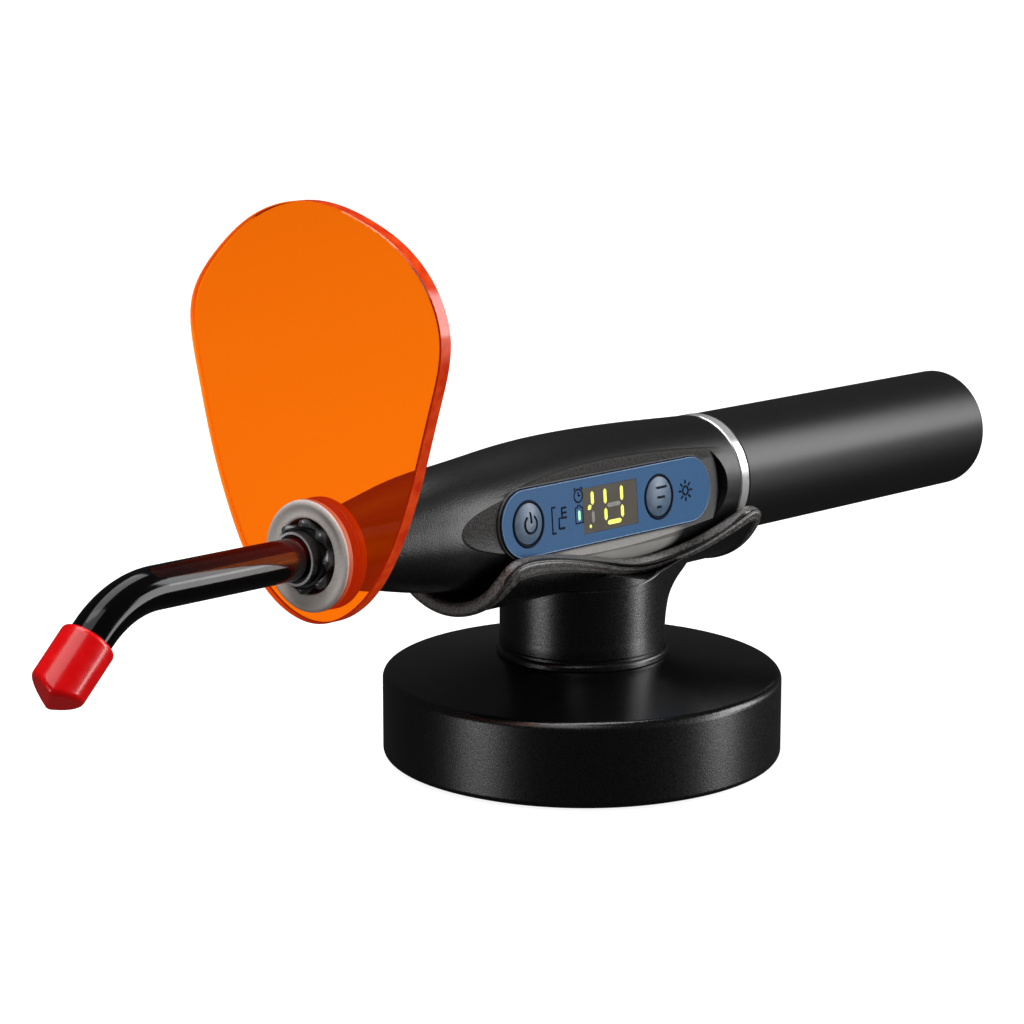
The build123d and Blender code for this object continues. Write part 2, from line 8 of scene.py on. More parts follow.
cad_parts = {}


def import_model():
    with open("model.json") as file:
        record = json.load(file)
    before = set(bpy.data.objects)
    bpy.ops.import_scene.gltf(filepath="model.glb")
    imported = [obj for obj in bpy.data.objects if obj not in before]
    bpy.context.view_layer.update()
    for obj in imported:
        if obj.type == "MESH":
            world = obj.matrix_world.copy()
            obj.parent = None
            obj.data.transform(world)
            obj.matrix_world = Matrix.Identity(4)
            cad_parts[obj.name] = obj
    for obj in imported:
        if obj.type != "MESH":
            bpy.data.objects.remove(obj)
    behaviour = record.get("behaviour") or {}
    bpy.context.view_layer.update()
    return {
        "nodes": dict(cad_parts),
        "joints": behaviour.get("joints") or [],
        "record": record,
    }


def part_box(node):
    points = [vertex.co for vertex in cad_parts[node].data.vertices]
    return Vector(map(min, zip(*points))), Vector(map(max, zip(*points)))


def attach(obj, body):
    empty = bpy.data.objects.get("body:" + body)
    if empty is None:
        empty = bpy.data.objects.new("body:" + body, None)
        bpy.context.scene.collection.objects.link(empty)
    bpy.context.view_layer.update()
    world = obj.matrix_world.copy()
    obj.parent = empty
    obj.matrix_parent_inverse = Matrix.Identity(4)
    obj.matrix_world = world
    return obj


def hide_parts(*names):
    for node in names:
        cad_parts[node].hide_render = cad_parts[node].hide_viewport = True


# The looks of a dental curing light in its stand. Helpers take millimetres, and Blender gets metres.

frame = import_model()
RECORD = frame["record"]
MM = 0.001

# ---------------------------------------------------------------- places read from the frame

MOUNTS = {mount["name"]: mount for mount in RECORD["mounts"]}
JOINTS = {joint["name"]: joint for joint in frame["joints"]}
AXIS = Vector(MOUNTS["barrel_grip"]["axis"]).normalized()
ACROSS = Vector((0, 1, 0))
ABOVE = AXIS.cross(ACROSS)
GRIP = Vector(MOUNTS["barrel_grip"]["pos_m"])
CENTRE = GRIP - AXIS * (GRIP.x / AXIS.x)     # where the handpiece axis passes over the stand
PANEL_OUT = -Vector(JOINTS["power_press"]["axis"]).normalized()
PANEL_UP = PANEL_OUT.cross(AXIS)


def basis(x, y, z, origin):
    """Matrix whose columns are three directions and an origin."""
    return Matrix.Translation(origin) @ Matrix((x, y, z)).transposed().to_4x4()


HAND = basis(AXIS, ACROSS, ABOVE, CENTRE)           # x along the handpiece, z up
FACE = basis(AXIS, PANEL_UP, PANEL_OUT, CENTRE)     # x along, y up the panel, z out of it


def extent(node, direction):
    """Where a node starts and ends along a direction, in millimetres from CENTRE."""
    places = [direction.dot(v.co - CENTRE) / MM for v in frame["nodes"][node].data.vertices]
    return min(places), max(places)


# ---------------------------------------------------------------- materials

def look(name, color, roughness, **sockets):
    """A Principled material with constant sockets; the texture is wired in afterwards."""
    made = bpy.data.materials.new(name)
    made.use_nodes = True
    shader = made.node_tree.nodes["Principled BSDF"]
    shader.inputs["Base Color"].default_value = (*color, 1)
    shader.inputs["Roughness"].default_value = roughness
    for socket, value in sockets.items():
        shader.inputs[socket.replace("_", " ")].default_value = value
    return made


def wire(made, kind, inputs=None, **settings):
    """Adds a node, sets it up and links or sets its inputs."""
    tree = made.node_tree
    node = tree.nodes.new("ShaderNode" + kind)
    for name, value in settings.items():
        setattr(node, name, value)
    for socket, value in (inputs or {}).items():
        if isinstance(value, bpy.types.NodeSocket):
            tree.links.new(value, node.inputs[socket])
        else:
            node.inputs[socket].default_value = value
    return node


def principled(made):
    """The material's Principled shader."""
    return made.node_tree.nodes["Principled BSDF"]


def plug(made, socket, output):
    """Links an output to a socket of the Principled shader."""
    made.node_tree.links.new(output, principled(made).inputs[socket])


def noise(made, size_mm, detail=2.0):
    """Object-space noise with grains of about the given size."""
    place = wire(made, "TexCoord").outputs["Object"]
    grains = wire(made, "TexNoise", {"Vector": place, "Scale": 1 / (size_mm * MM), "Detail": detail})
    return grains.outputs["Fac"]


def spread(made, value, low, high, start=0.35, end=0.65):
    """Maps a value between start and end to the range from low to high."""
    return wire(made, "MapRange", {"Value": value, "From Min": start, "From Max": end,
                                   "To Min": low, "To Max": high}).outputs["Result"]


def blend(made, factor, first, second):
    """Mixes two colours, each a tuple or an output."""
    node = wire(made, "Mix", data_type="RGBA")
    tree = made.node_tree
    tree.links.new(factor, node.inputs[0])
    for socket, value in ((node.inputs[6], first), (node.inputs[7], second)):
        if isinstance(value, bpy.types.NodeSocket):
            tree.links.new(value, socket)
        else:
            socket.default_value = (*value, 1)
    return node.outputs[2]


def grain(made, size_mm, depth_mm, dark, light, smooth, rough):
    """Moulded grain: bump, speckled colour and speckled roughness from one fine noise."""
    fine = noise(made, size_mm, 3.0)
    plug(made, "Base Color", blend(made, spread(made, fine, 0, 1), dark, light))
    plug(made, "Roughness", spread(made, fine, smooth, rough))
    bump = wire(made, "Bump", {"Height": fine, "Strength": 1.0, "Distance": depth_mm * MM})
    plug(made, "Normal", bump.outputs["Normal"])
    return made


def height_mask(made, direction, low_mm, high_mm):
    """0 at the first height and 1 at the second, measured from CENTRE along the direction."""
    place = wire(made, "TexCoord").outputs["Object"]
    shifted = wire(made, "VectorMath", {0: place, 1: CENTRE}, operation="SUBTRACT").outputs[0]
    height = wire(made, "VectorMath", {0: shifted, 1: direction}, operation="DOT_PRODUCT")
    return wire(made, "MapRange", {"Value": height.outputs["Value"], "From Min": low_mm * MM,
                                   "From Max": high_mm * MM}).outputs["Result"]


def combine(made, operation, *values):
    """Folds masks or numbers into one with a Math operation."""
    result = values[0]
    for value in values[1:]:
        result = wire(made, "Math", {0: result, 1: value}, operation=operation).outputs[0]
    return result


def times(made, *values):
    """Product of several masks."""
    return combine(made, "MULTIPLY", *values)


def plain(name, color, roughness, size_mm=0.4, depth_mm=0.01, variation=0.25, **sockets):
    """A plain moulded or turned finish with slight variation in tone and gloss."""
    made = look(name, color, roughness, **sockets)
    dark = tuple(c * (1 - variation) for c in color)
    light = tuple(min(c * (1 + variation), 1) for c in color)
    return grain(made, size_mm, depth_mm, dark, light, roughness * 0.85, roughness * 1.15)


def band(made, direction, low_mm, high_mm, soft_mm):
    """1 between two heights and 0 outside them, with soft ends."""
    rise = height_mask(made, direction, low_mm - soft_mm, low_mm)
    fall = height_mask(made, direction, high_mm + soft_mm, high_mm)
    return times(made, rise, fall)


def housing_look():
    """Satin black plastic: coarse-grained above and before the panel, with a pale painted reflection
    on the side below it.
    """
    facet_edge, facet_depth = 9.0, 11.35
    panel_side, panel_front, panel_rear = 6.2, -36.0, 26.0
    made = look("housing_black", (0.012, 0.012, 0.013), 0.4, Specular_IOR_Level=0.6)
    fine = noise(made, 0.3, 3.0)
    coarse = noise(made, 0.5, 2.0)
    # The coarse grain lies on the flat facet: beside the panel's upper edge and before its front
    above = times(made, height_mask(made, PANEL_OUT, facet_depth - 0.45, facet_depth - 0.15),
                  band(made, PANEL_UP, panel_side, 12.0, 0.8),
                  band(made, AXIS, panel_front, panel_rear, 5.0))
    before = times(made, height_mask(made, PANEL_OUT, facet_depth - 0.1, facet_depth - 0.02),
                   height_mask(made, PANEL_UP, -5.5, 0.0), height_mask(made, AXIS, -33.0, -35.0))
    speckled = combine(made, "MAXIMUM", above, before)
    # Painted reflection: the glossy side below the panel is painted pale grey where it mirrors light
    painted_reflection_zone = times(made, height_mask(made, PANEL_OUT, 2.0, 6.0),
                  band(made, PANEL_UP, -13.5, -7.3, 0.5), band(made, AXIS, -20.0, 14.0, 4.0))
    dark = blend(made, spread(made, fine, 0, 1), (0.002, 0.002, 0.002), (0.012, 0.012, 0.012))
    speckle = blend(made, spread(made, coarse, 0, 1), (0.001, 0.001, 0.001), (0.035, 0.03, 0.026))
    # Painted reflection colours: lighter grey on the facet's lower margin, paler still below it
    facet = blend(made, spread(made, fine, 0, 1), (0.30, 0.285, 0.27), (0.38, 0.36, 0.34))
    below_facet = height_mask(made, PANEL_UP, 0.1 - facet_edge, -0.1 - facet_edge)
    pale = blend(made, below_facet, facet, (0.62, 0.60, 0.57))
    toned = blend(made, speckled, dark, speckle)
    plug(made, "Base Color", blend(made, painted_reflection_zone, toned, pale))
    plug(made, "Roughness", spread(made, speckled, 0.36, 0.75, 0, 1))
    relief = times(made, coarse, speckled, 6.0)
    height = combine(made, "ADD", fine, relief)
    bump = wire(made, "Bump", {"Height": height, "Strength": 1.0, "Distance": 0.045 * MM})
    plug(made, "Normal", bump.outputs["Normal"])
    return made


def stand_look(name, size_mm=0.35, tone=1.0):
    """Black plastic with a leathery fine grain."""
    made = look(name, (0.014, 0.014, 0.015), 0.42, Specular_IOR_Level=0.75)
    dark, light = [(c * tone, c * tone, c * tone * 1.03) for c in (0.0015, 0.006)]
    return grain(made, size_mm, 0.03, dark, light, 0.26, 0.36)


def base_look():
    """The stand's plastic, polished on the foot's upper side."""
    rim_foot, rim_top = -35.4, -34.7
    made = stand_look("base_black", 0.3)
    rough = principled(made).inputs["Roughness"].links[0].from_socket
    top = height_mask(made, Vector((0, 0, 1)), rim_foot, rim_top)
    plug(made, "Roughness", times(made, rough, spread(made, top, 1.0, 0.45, 0, 1)))
    return made


def shield_look():
    """Clear orange plastic that filters more the longer the way through it, with a faint painted
    orange-red glow for the light it scatters.
    """
    made = look("shield_orange", (1.0, 0.93, 0.8), 0.02, Transmission_Weight=1.0, IOR=1.49,
                Emission_Color=(1.0, 0.07, 0.0, 1), Emission_Strength=0.14)
    volume = wire(made, "VolumeAbsorption", {"Color": (0.915, 0.70, 0.0, 1), "Density": 2000.0})
    output = made.node_tree.nodes["Material Output"]
    made.node_tree.links.new(volume.outputs[0], output.inputs["Volume"])
    ripple = wire(made, "Bump", {"Height": noise(made, 6.0), "Strength": 0.05, "Distance": 0.1 * MM})
    plug(made, "Normal", ripple.outputs["Normal"])
    return made


def edge_glow_look():
    """The shield's polished edge, painted to glow: red on the panel's side, with a paler painted
    highlight on the other side.
    """
    made = look("shield_edge_glow", (0.7, 0.05, 0.007), 0.15, Emission_Strength=0.3)
    patchy = spread(made, noise(made, 3.0), 0, 1)
    red = blend(made, patchy, (0.62, 0.03, 0.004), (0.8, 0.07, 0.01))
    # Painted light: the side away from the panel is painted paler, and the whole edge glows in this
    # colour
    shade = blend(made, height_mask(made, ACROSS, 2.0, 22.0), red, (1.0, 0.34, 0.07))
    plug(made, "Base Color", shade)
    plug(made, "Emission Color", shade)
    return made


def grommet_look():
    """Warm grey silicone whose rim is painted in shade tinted dark orange-red by the shield."""
    made = look("grommet_grey", (0.7, 0.64, 0.6), 0.6)
    front = extent("shield_grommet", AXIS)[0]
    side = height_mask(made, AXIS, front + 0.45, front + 0.75)
    soft = blend(made, spread(made, noise(made, 0.5), 0, 1), (0.74, 0.68, 0.63), (0.84, 0.77, 0.72))
    # Painted shade: the flange's side behind its front is painted dark orange-red
    plug(made, "Base Color", blend(made, side, soft, (0.42, 0.07, 0.02)))
    return made


def guide_look():
    """Glossy black rod with a painted reflection of the orange shield: a dark red tint on its upper
    side close to the nose.
    """
    made = look("guide_black", (0.003, 0.003, 0.003), 0.07, Specular_IOR_Level=0.3)
    # Painted reflection of the shield: upper side, near the nose
    up = height_mask(made, ABOVE, -0.6, 1.6)
    near = height_mask(made, AXIS, -112.0, -84.0)
    red = blend(made, times(made, up, near), (0.003, 0.003, 0.003), (0.05, 0.002, 0.001))
    plug(made, "Base Color", red)
    plug(made, "Roughness", spread(made, noise(made, 2.0), 0.08, 0.12))
    return made


LOOKS = {
    "housing_black": housing_look(),
    "barrel_black": plain("barrel_black", (0.008, 0.008, 0.0082), 0.38, 0.15, 0.004,
                          Specular_IOR_Level=0.5),
    # Lighter than the other blacks: a painted sheen, so the bezel's shaded side doesn't show black
    "bezel_black": plain("bezel_black", (0.09, 0.087, 0.084), 0.45, 1.0, 0.0),
    "panel_blue": plain("panel_blue", (0.018, 0.118, 0.30), 0.4, 0.3, 0.002, 0.08,
                        Specular_IOR_Level=0.25),
    "button_blue": plain("button_blue", (0.10, 0.17, 0.27), 0.42, 1.0, 0.0, 0.1,
                         Specular_IOR_Level=0.6),
    "window_smoke": plain("window_smoke", (0.10, 0.085, 0.065), 0.3, 8.0, 0.0, 0.03,
                          Specular_IOR_Level=0.25),
    "board_green": plain("board_green", (0.03, 0.19, 0.09), 0.4),
    "component_black": plain("component_black", (0.03, 0.03, 0.03), 0.5),
    "frame_grey": plain("frame_grey", (0.25, 0.25, 0.26), 0.45),
    "ring_chrome": plain("ring_chrome", (0.9, 0.9, 0.9), 0.2, 1.0, 0.0, 0.04, Metallic=0.6),
    "seal_black": plain("seal_black", (0.01, 0.01, 0.01), 0.6),
    "lens_clear": look("lens_clear", (0.95, 0.97, 1.0), 0.02, Transmission_Weight=1.0, IOR=1.49),
    "heat_aluminium": plain("heat_aluminium", (0.7, 0.7, 0.72), 0.3, Metallic=1.0),
    "emitter_yellow": plain("emitter_yellow", (0.85, 0.7, 0.15), 0.3),
    "guide_glass": guide_look(),
    "ferrule_steel": plain("ferrule_steel", (0.85, 0.85, 0.86), 0.3, 0.5, 0.0, 0.05, Metallic=0.3),
    "bush_black": plain("bush_black", (0.006, 0.006, 0.006), 0.4),
    "collet_dark": plain("collet_dark", (0.10, 0.10, 0.105), 0.28, 0.5, 0.0, 0.2, Metallic=0.25,
                         Specular_IOR_Level=1.0),
    # The cap's faint red glow is painted light; the cap is no lamp
    "cap_red": plain("cap_red", (0.85, 0.002, 0.004), 0.25, 3.0, 0.0, 0.06, Coat_Weight=0.3,
                     Coat_Roughness=0.12, Emission_Color=(1.0, 0.002, 0.004, 1),
                     Emission_Strength=0.13),
    "grommet_grey": grommet_look(),
    "shield_orange": shield_look(),
    "cell_wrap": plain("cell_wrap", (0.06, 0.2, 0.42), 0.3),
    "contact_brass": plain("contact_brass", (0.78, 0.6, 0.25), 0.25, Metallic=1.0),
    "wire_red": plain("wire_red", (0.5, 0.03, 0.02), 0.45),
    "stand_black": stand_look("stand_black"),
    "base_black": base_look(),
    "liner_black": stand_look("liner_black", 0.35, 2.5),
    "pad_rubber": plain("pad_rubber", (0.02, 0.02, 0.02), 0.7),
    "ballast_iron": plain("ballast_iron", (0.2, 0.2, 0.21), 0.5, Metallic=1.0),
    "screw_steel": plain("screw_steel", (0.55, 0.55, 0.56), 0.25, Metallic=1.0),
}


def paint_nodes():
    """Gives each CAD node the look of its material slot."""
    for part in RECORD["subparts"]:
        node = frame["nodes"][part["node"]]
        node.data.materials.clear()
        node.data.materials.append(LOOKS[part["material_slot"]])


def paint_shield_edge():
    """Gives the plate's narrow faces their own look."""
    plate = frame["nodes"]["shield_plate"]
    plate.visible_shadow = False
    plate.data.materials.append(edge_glow_look())
    for face in plate.data.polygons:
        face.material_index = 1 if abs(face.normal.dot(AXIS)) < 0.5 else 0


def paint_ferrule():
    """Leaves the ferrule bright only at its polished front; behind it the ferrule is painted dark as
    shade in the recess round the rod.
    """
    ferrule = frame["nodes"]["guide_ferrule"]
    # Painted shade: the ferrule behind its front, deep in the recess, is painted near black
    ferrule.data.materials.append(plain("ferrule_recess_shade", (0.02, 0.02, 0.02), 0.3, 0.15, 0.002))
    shade_from = extent("guide_ferrule", AXIS)[0] + 0.1
    for face in ferrule.data.polygons:
        at_front = AXIS.dot(face.center - CENTRE) / MM < shade_from
        face.material_index = 0 if at_front else 1


paint_nodes()
paint_shield_edge()
paint_ferrule()

# ---------------------------------------------------------------- building pieces

def piece(name, verts, faces, place, paint, body, smooth=True):
    """A mesh piece from points in millimetres in the given place."""
    mesh = bpy.data.meshes.new(name)
    mesh.from_pydata([place @ (Vector(v) * MM) for v in verts], [], faces)
    mesh.materials.append(paint)
    shell = bmesh.new()
    shell.from_mesh(mesh)
    bmesh.ops.recalc_face_normals(shell, faces=shell.faces)
    shell.to_mesh(mesh)
    shell.free()
    if smooth:
        mesh.shade_smooth()
    made = bpy.data.objects.new(name, mesh)
    bpy.context.scene.collection.objects.link(made)
    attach(made, body)
    return made


def loop_faces(rings, count):
    """Quads between closed rings of points, the last of which joins the first."""
    faces = []
    for i in range(rings):
        for j in range(count):
            a, b = i * count, (i + 1) % rings * count
            k = (j + 1) % count
            faces.append((a + j, a + k, b + k, b + j))
    return faces


def rounded(points, radius, steps=5):
    """The closed outline with each corner turned into an arc."""
    out = []
    for i, corner in enumerate(points):
        here = Vector(corner)
        back = Vector(points[i - 1]) - here
        ahead = Vector(points[(i + 1) % len(points)]) - here
        reach = min(radius, back.length * 0.45, ahead.length * 0.45)
        start, end = here + back.normalized() * reach, here + ahead.normalized() * reach
        for k in range(steps + 1):
            t = k / steps
            out.append(start * (1 - t) ** 2 + here * (2 * t * (1 - t)) + end * t ** 2)
    return out


def turned(name, outline, paint, body, steps=128):
    """A ring turned about the handpiece axis from a closed (x, radius) outline."""
    verts = []
    for i in range(steps):
        angle = math.tau * i / steps
        verts += [(x, r * math.cos(angle), r * math.sin(angle)) for x, r in outline]
    return piece(name, verts, loop_faces(steps, len(outline)), HAND, paint, body)


def line_work(name, paths, width, paint, body, height, closed=(), dome=None):
    """Raised lines, printed marks or painted edge lines: one round-bevelled spline per path of (x,
    y) points on the panel, or on the domed key whose centre and dome radius are given."""
    curve = bpy.data.curves.new(name, "CURVE")
    curve.dimensions = "3D"
    curve.bevel_depth = width / 2 * MM
    curve.bevel_resolution = 2
    curve.use_fill_caps = True
    for number, path in enumerate(paths):
        spline = curve.splines.new("POLY")
        spline.points.add(len(path) - 1)
        for point, (x, y) in zip(spline.points, path):
            drop = ((x - dome[0]) ** 2 + (y - dome[1]) ** 2) / (2 * dome[2]) if dome else 0
            point.co = (*(FACE @ (Vector((x, y, height - drop)) * MM)), 1)
        spline.use_cyclic_u = number in closed
    curve.materials.append(paint)
    made = bpy.data.objects.new(name, curve)
    bpy.context.scene.collection.objects.link(made)
    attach(made, body)
    return made


def arc(x, y, radius, start=0, end=360, steps=32):
    """Points of an arc on the panel, angles in degrees."""
    turns = [math.radians(start + (end - start) * i / steps) for i in range(steps + 1)]
    return [(x + radius * math.cos(t), y + radius * math.sin(t)) for t in turns]


def bent(start, end, steps=6):
    """Points along a straight stroke, close enough to follow a dome."""
    return [tuple(a + (b - a) * i / steps for a, b in zip(start, end)) for i in range(steps + 1)]


# ---------------------------------------------------------------- control panel

PANEL_TOP = extent("control_panel", PANEL_OUT)[1]
WINDOW_TOP = extent("display_window", PANEL_OUT)[1]
KEY_TOP = extent("power_button", PANEL_OUT)[1]
STROKE = 0.5                 # width of a printed line
FINE_STROKE = 0.42
SUNK = 0.1                   # how deep a printed line's middle lies under the film


def middle(node):
    """Centre of a node in panel coordinates, in millimetres."""
    low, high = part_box(node)
    return FACE.inverted() @ ((Vector(low) + Vector(high)) / 2) / MM


POWER = middle("power_button")
MODE = middle("mode_button")
WINDOW = middle("display_window")
PRINT = plain("print_navy", (0.001, 0.005, 0.02), 0.6, 0.3, 0.0, Specular_IOR_Level=0.1)
LIT = look("segment_lit", (0.75, 0.8, 0.12), 0.4, Emission_Color=(0.86, 0.88, 0.10, 1),
           Emission_Strength=0.75)
UNLIT = plain("segment_unlit", (0.28, 0.27, 0.25), 0.4, 0.3, 0.0)
GREEN = look("segment_green", (0.35, 0.8, 0.45), 0.4, Emission_Color=(0.45, 0.9, 0.55, 1),
             Emission_Strength=0.6)


def bars(name, strokes, paint, height):
    """Flat bars with pointed ends, slightly raised, each given by its ends and its width."""
    thickness = 0.06
    verts, faces = [], []
    for x0, y0, x1, y1, width in strokes:
        start, end = Vector((x0, y0)), Vector((x1, y1))
        way = (end - start).normalized()
        side = Vector((-way.y, way.x)) * width / 2
        tip = way * width / 2
        outline = [start, start + tip + side, end - tip + side,
                   end, end - tip - side, start + tip - side]
        base = len(verts)
        verts += [(p.x, p.y, height) for p in outline]
        verts += [(p.x, p.y, height + thickness) for p in outline]
        count = len(outline)
        faces.append(tuple(range(base, base + count)))
        faces.append(tuple(range(base + count, base + 2 * count)))
        for j in range(count):
            k = (j + 1) % count
            faces.append((base + j, base + k, base + count + k, base + count + j))
    return piece(name, verts, faces, FACE, paint, "handpiece", smooth=False)


def display():
    """Two seven-segment digits, a point and the dim segments between them."""
    left, right, low, mid, high = WINDOW.x - 1.5, WINDOW.x + 3.6, -3.0, 0.3, 3.7
    wide, gap = 0.88, 0.4
    lit = [(left, mid + gap, left, high, wide), (right, mid + gap, right, high, wide),
           (left, low + gap, left, mid - gap, wide), (right, low + gap, right, mid - gap, wide),
           (left + gap, low - 0.1, right - gap, low - 0.1, wide)]
    one = WINDOW.x - 5.4
    lit += [(one, mid + 0.7, one, high, wide), (one - 1.5, mid - 0.1, one - 0.4, mid + 0.7, wide),
            (one - 1.3, low - 0.1, one - 0.5, low - 0.1, 0.8)]
    dim = [(left + gap, mid, right - gap, mid, wide), (one, low + gap, one, mid - gap, wide)]
    bars("display_segments_lit", lit, LIT, WINDOW_TOP - 0.01)
    bars("display_segments_dim", dim, UNLIT, WINDOW_TOP - 0.01)


def lines_on_film(name, paths, width, sunk=SUNK, closed=(), paint=PRINT):
    """Lines on the panel's film: printed marks, and the painted highlight and shadow lines round its
    edge.
    """
    line_work(name, paths, width, paint, "handpiece", PANEL_TOP - sunk, closed=closed)


def panel_prints():
    """Printed symbols beside the keys: steps, a clock, a battery and a small lamp."""
    x, y = POWER.x + 7.0, -0.6
    steps = [[(x + 1.0, y + 2.6), (x, y + 2.6), (x, y - 2.4), (x + 1.0, y - 2.4)],
             [(x + 2.0, y - 1.7), (x + 2.0, y + 0.3), (x + 2.9, y + 0.3), (x + 2.9, y + 2.2)],
             [(x + 2.0, y - 1.7), (x + 3.6, y - 1.7)], [(x + 2.9, y + 0.3), (x + 4.2, y + 0.3)],
             [(x + 2.9, y + 1.25), (x + 4.2, y + 1.25)], [(x + 2.9, y + 2.2), (x + 4.2, y + 2.2)]]
    lines_on_film("print_steps", steps, STROKE)
    x, y = WINDOW.x - 9.6, 3.3
    clock = [arc(x, y, 1.25), [(x, y + 0.75), (x, y), (x + 0.6, y)],
             [(x - 1.3, y + 1.2), (x - 0.8, y + 1.6)], [(x + 1.3, y + 1.2), (x + 0.8, y + 1.6)]]
    lines_on_film("print_clock", clock, FINE_STROKE)
    y = -0.5
    cell = [(x - 1.1, y - 1.5), (x - 1.1, y + 1.5), (x - 0.4, y + 1.5), (x - 0.4, y + 1.9),
            (x + 0.4, y + 1.9), (x + 0.4, y + 1.5), (x + 1.1, y + 1.5), (x + 1.1, y - 1.5)]
    lines_on_film("print_battery", [cell], FINE_STROKE, closed=(0,))
    bars("battery_level", [(x, y - 1.1, x, y + 1.0, 0.7)], GREEN, PANEL_TOP - 0.01)
    x, y = MODE.x + 8.6, 0.0
    lamp = [arc(x, y, 0.85)]
    rays = 8
    for i in range(rays):
        turn = math.tau * i / rays
        lamp.append([(x + r * math.cos(turn), y + r * math.sin(turn)) for r in (1.35, 2.1)])
    lines_on_film("print_lamp", lamp, STROKE)


def key_symbols():
    """A ring round each key and a symbol on its dome, which moves with the key."""
    ring_radius, ring_width, ring_sunk = 4.3, 0.7, 0.12
    dome, symbol_sunk = 10.4, 0.06
    x, y = POWER.x, POWER.y
    power = [arc(x, y, 1.7, 125, 415), bent((x, y + 0.2), (x, y + 2.3))]
    left = MODE.x - 1.2
    mode = [bent((left, MODE.y + up), (left + width, MODE.y + up))
            for up, width in ((-1.9, 1.0), (0, 2.0), (1.9, 3.0))]
    keys = (("power", POWER, power, STROKE), ("mode", MODE, mode, 0.55))
    for name, key, _, _ in keys:
        ring = arc(key.x, key.y, ring_radius, steps=64)[:-1]
        lines_on_film(name + "_key_ring", [ring], ring_width, ring_sunk, closed=(0,))
    for name, key, symbol, width in keys:
        line_work(name + "_symbol", symbol, width, PRINT, name + "_key",
                  KEY_TOP - symbol_sunk, dome=(key.x, key.y, dome))


def panel_edge():
    """A thin painted highlight line round the film and a painted shadow line just outside it."""
    front, rear = extent("control_panel", AXIS)
    radius = extent("control_panel", PANEL_UP)[1]
    # The light line is a painted highlight on the film's edge; the dark one is a painted shadow
    rim = plain("panel_edge_highlight", (0.16, 0.3, 0.48), 0.3, 0.3, 0.0)
    for name, offset, width, sunk, paint in (("panel_highlight_line", -0.1, 0.22, 0.04, rim),
                                             ("panel_shadow_line", 0.1, 0.3, 0.3, PRINT)):
        size = radius + offset
        path = arc(rear - radius, 0, size, -90, 90) + arc(front + radius, 0, size, 90, 270)
        lines_on_film(name, [path], width, sunk, (0,), paint)


display()
panel_prints()
key_symbols()
panel_edge()


# ---------------------------------------------------------------- cradle rim

# Side view of the cradle's rim along the handpiece axis, from its front corner to its tail corner
RIM_LINE = [(-40.2, -9.0), (-38.6, -5.9), (-34.5, -4.8), (-25.0, -5.7), (-12.0, -8.4),
            (0.0, -11.2), (10.0, -12.2), (20.0, -10.4), (30.0, -6.4), (35.0, -4.5),
            (37.9, -5.2), (38.8, -8.0)]


def smooth_path(points, count):
    """Evenly numbered points on a Catmull-Rom curve through the given ones."""
    ends = [points[0]] + list(points) + [points[-1]]
    out = []
    for i in range(count):
        place = i / (count - 1) * (len(points) - 1)
        k = min(int(place), len(points) - 2)
        t = place - k
        a, b, c, d = (Vector(ends[k + j]) for j in range(4))
        out.append((b * 2 + (c - a) * t + (a * 2 - b * 5 + c * 4 - d) * t ** 2
                    + (b * 3 - a - c * 3 + d) * t ** 3) / 2)
    return out


def ramp(value, low, high):
    """0 at low, 1 at high, smooth between them."""
    t = min(max((value - low) / (high - low), 0), 1)
    return t * t * (3 - 2 * t)


def rim_spots(radius, lip_steps):
    """Points on the cradle's edge, once round: near side, tail lip, far side and front lip."""
    side = smooth_path(RIM_LINE, 90)
    front, rear = side[0], side[-1]
    bottom = math.pi / 2
    share = [i / lip_steps for i in range(lip_steps)]
    low = math.asin(-rear.y / radius)
    loop = [(p.x, math.asin(-p.y / radius), -1) for p in side]
    loop += [(rear.x, low + (bottom - low) * t, -1) for t in share[1:]]
    loop += [(rear.x, bottom - (bottom - low) * t, 1) for t in share]
    loop += [(p.x, math.asin(-p.y / radius), 1) for p in reversed(side)]
    low = math.asin(-front.y / radius)
    loop += [(front.x, low + (bottom - low) * t, 1) for t in share[1:]]
    loop += [(front.x, bottom - (bottom - low) * t, -1) for t in share]
    return [Vector((x, s * radius * math.cos(a), -radius * math.sin(a))) for x, a, s in loop]


